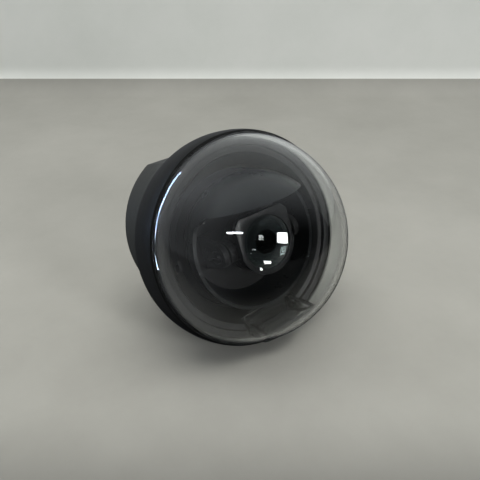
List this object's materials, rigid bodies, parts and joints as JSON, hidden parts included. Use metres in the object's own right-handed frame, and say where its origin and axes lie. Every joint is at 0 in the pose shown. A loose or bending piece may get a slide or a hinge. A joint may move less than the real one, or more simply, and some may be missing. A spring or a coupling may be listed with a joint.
{
  "type": "security camera",
  "caption": "Small ball-shaped dome security camera with a clear dome cover, a pan and tilt lens unit inside a dark liner, and a twist-lock mounting plate.",
  "frame": {"origin": "centre of the housing's rear mounting face, on the dome's axis", "axes": "+Z along the dome's axis from the mounting face to the dome; the dome latch is towards -Y; X runs along the tilt axis"},
  "size_m": [0.102, 0.102, 0.092],
  "materials": {
    "black_plastic": "satin moulded polycarbonate",
    "dark_plastic": "matte moulded nylon",
    "trim_plastic": "fine satin",
    "liner_plastic": "smooth semi-gloss",
    "module_plastic": "fine matte",
    "barrel_metal": "black anodised look",
    "lens_glass": "coated optical glass",
    "filter_glass": "infrared-cut coating",
    "clear_dome": "clear polycarbonate",
    "rubber": "matte",
    "plate_steel": "black powder coat",
    "steel": "zinc plated",
    "spring_steel": "polished wire",
    "jack_plastic": "moulded",
    "socket_plastic": "natural nylon",
    "button_plastic": "moulded",
    "card_plastic": "moulded",
    "acetal": "smooth",
    "board": "solder mask",
    "chip": "moulded package",
    "pad": "soft silicone",
    "heat_aluminium": "natural",
    "contact_gold": "gold flash",
    "sensor": "glass-covered sensor"
  },
  "bodies": {
    "housing": {"rear_housing": "black_plastic", "mounting_plate": "plate_steel", "bayonet_studs": "steel", "lock_screw": "steel", "cable_seal": "rubber", "housing_band": "black_plastic", "housing_screws": "steel", "main_board": "board", "board_screws": "steel", "processor": "chip", "thermal_pad": "pad", "heat_spreader": "heat_aluminium", "network_jack": "jack_plastic", "jack_contacts": "contact_gold", "card_slot": "steel", "reset_switch": "jack_plastic", "link_socket": "socket_plastic", "chassis_deck": "dark_plastic", "trim_ring": "trim_plastic", "trim_screws": "steel", "latch_pin": "steel", "latch_spring": "spring_steel", "dome_gasket": "rubber"},
    "dome": {"dome_cover": "clear_dome"},
    "latch": {"dome_latch": "black_plastic"},
    "pan_stage": {"pan_turntable": "dark_plastic", "pan_retainer": "acetal", "yoke_arm_left": "dark_plastic", "yoke_arm_right": "dark_plastic", "friction_washers": "acetal", "liner_hood": "liner_plastic"},
    "tilt_bracket": {"module_bracket": "dark_plastic", "tilt_pins": "steel"},
    "camera_module": {"lens_barrel": "barrel_metal", "lens_stop_ring": "steel", "module_faceplate": "module_plastic", "lens_front_glass": "lens_glass", "lens_group": "lens_glass", "aperture_ring": "barrel_metal", "sensor_board": "board", "sensor_spacer": "acetal", "image_sensor": "sensor", "infrared_filter": "filter_glass", "sensor_screws": "steel"},
    "focus": {"focus_ring": "barrel_metal"},
    "card": {"memory_card": "card_plastic"},
    "reset": {"reset_button": "button_plastic"}
  },
  "joints": [
    {"name": "dome_lift", "type": "slide", "parent": "housing", "child": "dome", "axis": [0, 0, 1], "range_m": [0, 0.03]},
    {"name": "latch_swing", "type": "hinge", "parent": "housing", "child": "latch", "pos_m": [0, -0.0469, 0.04735], "axis": [1, 0, 0], "range_deg": [0, 12], "stiffness_Nm_per_rad": 0.08, "springref_deg": -8.59},
    {"name": "pan", "type": "hinge", "parent": "housing", "child": "pan_stage", "pos_m": [0, 0, 0.0376], "axis": [0, 0, 1], "range_deg": [-175, 175]},
    {"name": "tilt", "type": "hinge", "parent": "pan_stage", "child": "tilt_bracket", "pos_m": [0, 0, 0.055], "axis": [1, 0, 0], "range_deg": [-20, 65]},
    {"name": "image_rotation", "type": "hinge", "parent": "tilt_bracket", "child": "camera_module", "pos_m": [0, 0, 0.055], "axis": [0, 0, 1], "range_deg": [-95, 95]},
    {"name": "focus_turn", "type": "hinge", "parent": "camera_module", "child": "focus", "pos_m": [0, 0, 0.0585], "axis": [0, 0, 1], "range_deg": [-45, 45]},
    {"name": "card_slide", "type": "slide", "parent": "housing", "child": "card", "axis": [1, 0, 0], "range_m": [0, 0.008]},
    {"name": "reset_press", "type": "slide", "parent": "housing", "child": "reset", "axis": [0, 0, -1], "range_m": [0, 0.0004], "stiffness_N_per_m": 600, "springref_m": -0.0004}
  ]
}
